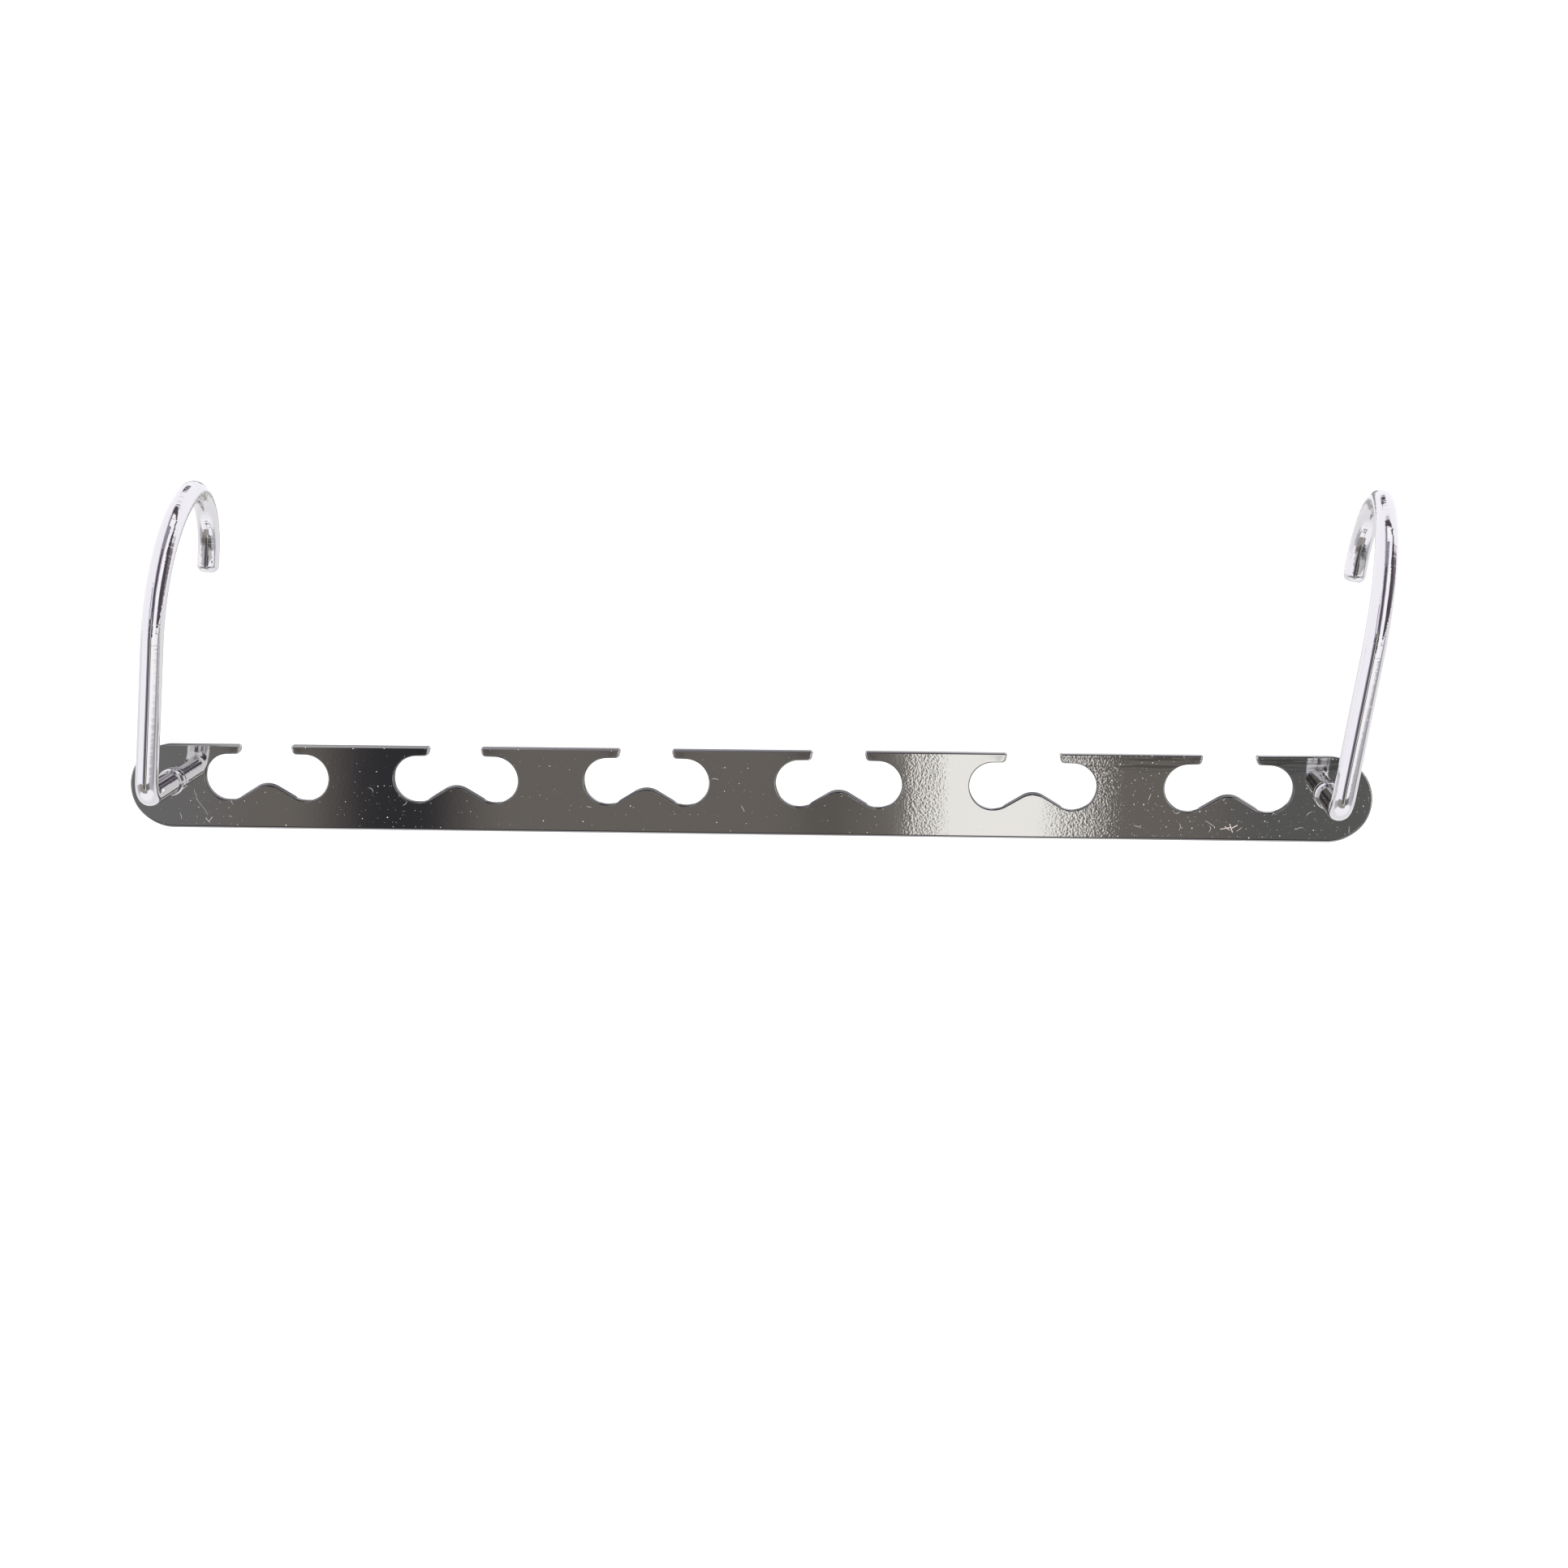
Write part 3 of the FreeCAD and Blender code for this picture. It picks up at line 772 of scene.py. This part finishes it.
def chromed_wire():
    """Bright chrome on drawn wire: grain, the bender's chatter marks round the sweep, and dust.

    Inside the tip is a painted dark patch, dull and a little rougher, standing in for a dark reflection.
    """
    material = bpy.data.materials.new("chromed_wire")
    material.use_nodes = True
    tree = material.node_tree
    shader = tree.nodes["Principled BSDF"]
    place = add(tree, "ShaderNodeTexCoord").outputs["Object"]
    unrolled = add(tree, "ShaderNodeUVMap", uv_map="unrolled").outputs[0]
    length = add(tree, "ShaderNodeSeparateXYZ", {0: unrolled}).outputs[0]
    quarter_turn = wire_girth / 4 / cm
    grain = place_group(tree, grain_group, {"Position": place, "Grain": 0.6 * mm, "Grain share": 0.5,
                                            "Peel": 3 * mm, "Peel share": 2.0}).outputs["Height"]
    chatter_at = vector_node(tree, "MULTIPLY", unrolled, (8.0, 3.0, 1.0))
    chatter = add(tree, "ShaderNodeTexNoise", {"Vector": chatter_at, "Scale": 1.0, "Detail": 1.0},
                  noise_dimensions="2D").outputs[0]
    ring_at = vector_node(tree, "MULTIPLY", unrolled, (5.0, 0.7, 1.0))
    wander = add(tree, "ShaderNodeTexNoise", {"Vector": ring_at, "Scale": 1.0, "Detail": 0.0},
                 noise_dimensions="2D").outputs[0]
    off_ring = math_node(tree, "ABSOLUTE", math_node(tree, "SUBTRACT", wander, 0.5))
    ring = smooth_step(tree, off_ring, 0.035, 0.0)
    on_sweep = smooth_step(tree, length, 4.4, 5.2)
    deep = math_node(tree, "MULTIPLY_ADD", on_sweep, 15.0, 4.0)
    height = math_node(tree, "MULTIPLY_ADD", chatter, deep, grain)
    height = math_node(tree, "MULTIPLY_ADD", ring, math_node(tree, "MULTIPLY", on_sweep, 5.0), height)
    dust = place_group(tree, speck_group, {"Position": unrolled, "Cell": 0.25, "Radius": 0.010,
                                           "Share": 0.06}).outputs["Mask"]
    # Painted reflection: a dark olive patch inside the tip, standing in for the dark reflection there.
    off_mark = vector_node(tree, "SUBTRACT", unrolled, (wire_length / cm - 0.50, quarter_turn, 0))
    off_mark = vector_node(tree, "DIVIDE", off_mark, (0.42, 0.15, 1.0))
    off_mark = vector_node(tree, "LENGTH", off_mark, (0, 0, 0), "Value")
    off_mark = math_node(tree, "MULTIPLY_ADD", chatter, 0.7, off_mark)
    painted_tip_dark = smooth_step(tree, off_mark, 1.35, 1.15)
    plate = mix_colour(tree, math_node(tree, "MULTIPLY", painted_tip_dark, 0.62),
                       (0.645, 0.64, 0.65, 1), (0.155, 0.15, 0.135, 1))
    colour = mix_colour(tree, dust, plate, (0.9, 0.88, 0.86, 1))
    tree.links.new(colour, shader.inputs["Base Color"])
    tree.links.new(math_node(tree, "SUBTRACT", 1.0, dust), shader.inputs["Metallic"])
    rough = math_node(tree, "MULTIPLY_ADD", painted_tip_dark, 0.10, 0.03)
    tree.links.new(math_node(tree, "MULTIPLY_ADD", dust, 0.6, rough), shader.inputs["Roughness"])
    bump = add(tree, "ShaderNodeBump", {"Height": height, "Distance": 0.0016 * mm, "Strength": 1.0})
    tree.links.new(bump.outputs[0], shader.inputs["Normal"])
    return material


wire_chrome = chromed_wire()
for node_name, body, pivot in (("left_hook", "left_hook_body", left_pivot),
                               ("right_hook", "right_hook_body", right_pivot)):
    hook_piece, hook_profile = wire_hook("wire_" + node_name, pivot, leans[node_name])
    unroll(hook_piece, hook_profile)
    hook_piece.data.materials.append(wire_chrome)
    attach(hook_piece, body)
    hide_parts(node_name)

# ------------------------------------------------------------------------------------- studio
# A plain white floor well below the hanging bar, and the soft light of a white tent. Chrome shows
# only its surroundings, so the tent has a dark opening in front, with one narrow strip light.
floor_drop = 100 * mm
floor_half = 4.0
floor_mesh = bpy.data.meshes.new("floor")
floor_level = bar_low.z - floor_drop
corners = np.array([[-1, -1, 0], [1, -1, 0], [1, 1, 0], [-1, 1, 0]]) * floor_half
floor_mesh.from_pydata((corners + np.array([0, 0, floor_level])).tolist(), [], [[0, 1, 2, 3]])
floor = bpy.data.objects.new("floor", floor_mesh)
floor.visible_glossy = False
bpy.context.scene.collection.objects.link(floor)
floor_material = bpy.data.materials.new("floor_paper")
floor_material.use_nodes = True
floor_shader = floor_material.node_tree.nodes["Principled BSDF"]
floor_shader.inputs["Base Color"].default_value = (0.92, 0.92, 0.92, 1)
floor_shader.inputs["Roughness"].default_value = 1.0
floor_mesh.materials.append(floor_material)


def tent_panel():
    """Mask of one panel: between two angles across and two angles round, with soft edges."""
    tree, start, end = new_group(
        "tent_panel",
        [("Across", "NodeSocketFloat", 0.0), ("Round", "NodeSocketFloat", 0.0),
         ("Left", "NodeSocketFloat", 0.0), ("Right", "NodeSocketFloat", 0.0),
         ("Low", "NodeSocketFloat", 0.0), ("High", "NodeSocketFloat", 0.0),
         ("Side blur", "NodeSocketFloat", 1.0), ("End blur", "NodeSocketFloat", 3.0)],
        [("Mask", "NodeSocketFloat")])
    masks = []
    for value, low, high, blur in (("Across", "Left", "Right", "Side blur"),
                                   ("Round", "Low", "High", "End blur")):
        for limit, sign in ((low, 1), (high, -1)):
            past = math_node(tree, "SUBTRACT", start[value], start[limit])
            past = math_node(tree, "MULTIPLY", past, sign)
            ramp = math_node(tree, "DIVIDE", past, start[blur])
            masks.append(smooth_step(tree, ramp, -0.5, 0.5))
    mask = masks[0]
    for other in masks[1:]:
        mask = math_node(tree, "MULTIPLY", mask, other)
    tree.links.new(mask, end["Mask"])
    return tree


world = bpy.data.worlds.new("tent")
bpy.context.scene.world = world
world.use_nodes = True
sky = world.node_tree
sky.nodes.clear()
direction = add(sky, "ShaderNodeTexCoord").outputs["Generated"]
axes = add(sky, "ShaderNodeSeparateXYZ", {0: vector_node(sky, "NORMALIZE", direction, (0, 0, 0))}).outputs
across = math_node(sky, "DEGREES", math_node(sky, "ARCSINE", axes[0]))
round_angle = math_node(sky, "DEGREES", math_node(
    sky, "ARCTAN2", axes[2], math_node(sky, "MULTIPLY", axes[1], -1.0)))
panel_group = tent_panel()

# Each panel: name, left, right, low, high (degrees), side blur, end blur, colour, brightness.
# Across is the angle to the right of the middle plane; round is the angle up from straight ahead
# of the bar, over the top at 90, to straight behind it at 180.
panels = [
    ("floor_behind", -90, 90, -179, -100, 6, 30, (0.99, 0.98, 1.0), 1.10),
    ("back_room", -18, 16, -178, -150, 6, 8, (1.0, 0.97, 0.94), 0.50),
    ("back_light", -4, 5, -178, -150, 5, 8, (1.0, 0.99, 0.97), 0.95),
    ("room_high", -12, 20, 10, 108, 12, 8, (0.87, 0.78, 1.0), 0.46),
    ("room_high_core", -4, 10, 14, 64, 6, 6, (0.95, 0.81, 1.0), 0.10),
    ("bright_wall", 21, 43, -16, 82, 5, 5, (1.0, 0.985, 1.0), 1.42),
    ("bright_cap", 1, 29, 85, 99, 5, 3, (1.0, 0.985, 1.0), 1.42),
    ("dark_side", 49, 99, -5, 72, 6, 5, (1.0, 0.80, 1.0), 0.115),
    ("side_line", 70, 75, -30, -5, 3, 4, (0.95, 0.92, 1.0), 0.75),
    ("dark_side_top", 40, 99, 66, 104, 6, 6, (1.0, 0.80, 1.0), 0.115),
    ("dark_cap", -10, 48, 99, 106, 7, 4, (1.0, 0.85, 1.0), 0.11),
    ("dark_side_low", 67, 99, -95, -34, 6, 10, (1.0, 0.95, 1.0), 0.5),
    ("side_far", 60, 99, 104, 172, 10, 8, (1.0, 0.92, 1.0), 0.27),
    ("lamp_head", -15, 7, 128, 139, 6, 5, (0.95, 0.90, 1.0), 0.12),
    ("beam_behind", -24, 1, 164, 174.5, 4, 3, (1.0, 1.0, 1.05), 0.45),
    ("tip_room", -54, 12, -57, -34, 4, 4, (1.0, 0.96, 0.90), 0.42),
    ("tip_room_low", -54, -19, -36, -19, 4, 4, (1.0, 0.96, 0.90), 0.42),
    ("tip_dark", 10, 36, -48, -19, 5, 5, (0.95, 0.97, 1.0), 0.25),
    ("room_low", -20.5, 9.9, -36, 14, 1.5, 3, (1.0, 0.915, 0.855), 0.205),
    ("room_left_edge", -20.5, -15.9, -36, 14, 2.5, 3, (1.0, 0.99, 1.02), 0.22),
    ("violet_edge", -27, -20.5, -16, 40, 4, 6, (0.62, 0.55, 1.0), 0.55),
    ("black_flag", -13.4, -10.6, -36, 14, 2.0, 3, (0.9, 0.87, 1.0), 0.048),
    ("room_fold", -3.3, -1.95, -36, 14, 1.2, 3, (1.0, 0.92, 0.86), 0.16),
    ("room_wide", 8, 18, -3, 14, 3.0, 3, (0.95, 0.88, 1.0), 0.10),
    ("room_right", 6.1, 9.9, -36, 14, 2.0, 3, (1.0, 1.0, 1.0), 0.15),
    ("shelf_edge", 3.6, 9.9, -3, 1, 1.0, 2.5, (1.0, 1.0, 1.05), 0.05),
    ("strip_light", -0.65, 2.82, -44, 14, 0.9, 6, (1.0, 0.985, 0.96), 1.32),
]

# Under the panels the tent is evenly bright, a little less behind the bar. Its skirt, low down at
# both sides, is greyer.
elevation = math_node(sky, "DEGREES", math_node(sky, "ARCSINE", axes[2]))
skirt = math_node(sky, "MULTIPLY", smooth_step(sky, elevation, -13.0, -16.0),
                  smooth_step(sky, elevation, -44.0, -34.0))
skirt = math_node(sky, "MULTIPLY", skirt,
                  smooth_step(sky, math_node(sky, "ABSOLUTE", across), 26.0, 34.0))
behind = smooth_step(sky, axes[1], 0.78, 0.96)
radiance = mix_colour(sky, behind, (1.33, 1.315, 1.37, 1), (1.22, 1.22, 1.28, 1))
radiance = mix_colour(sky, skirt, radiance, (0.62, 0.62, 0.65, 1))
for name, left, right, low, high, side_blur, end_blur, tint, brightness in panels:
    panel = place_group(sky, panel_group, {
        "Across": across, "Round": round_angle, "Left": left, "Right": right, "Low": low,
        "High": high, "Side blur": side_blur, "End blur": end_blur})
    panel.label = name
    colour = tuple(brightness * part for part in tint) + (1,)
    radiance = mix_colour(sky, panel.outputs["Mask"], radiance, colour)

# Only what the chrome mirrors shows the panels. The floor and the dust are lit evenly, and the tent
# itself is seen as plain white.
paths = add(sky, "ShaderNodeLightPath").outputs
even_light = mix_colour(sky, paths["Is Camera Ray"], (1.35, 1.35, 1.35, 1), (1.1, 1.1, 1.1, 1))
shown = mix_colour(sky, paths["Is Glossy Ray"], even_light, radiance)
glow = add(sky, "ShaderNodeBackground", {"Color": shown, "Strength": 1.0})
add(sky, "ShaderNodeOutputWorld", {"Surface": glow.outputs[0]})

bpy.context.scene.view_settings.view_transform = "Standard"
bpy.context.scene.view_settings.look = "None"
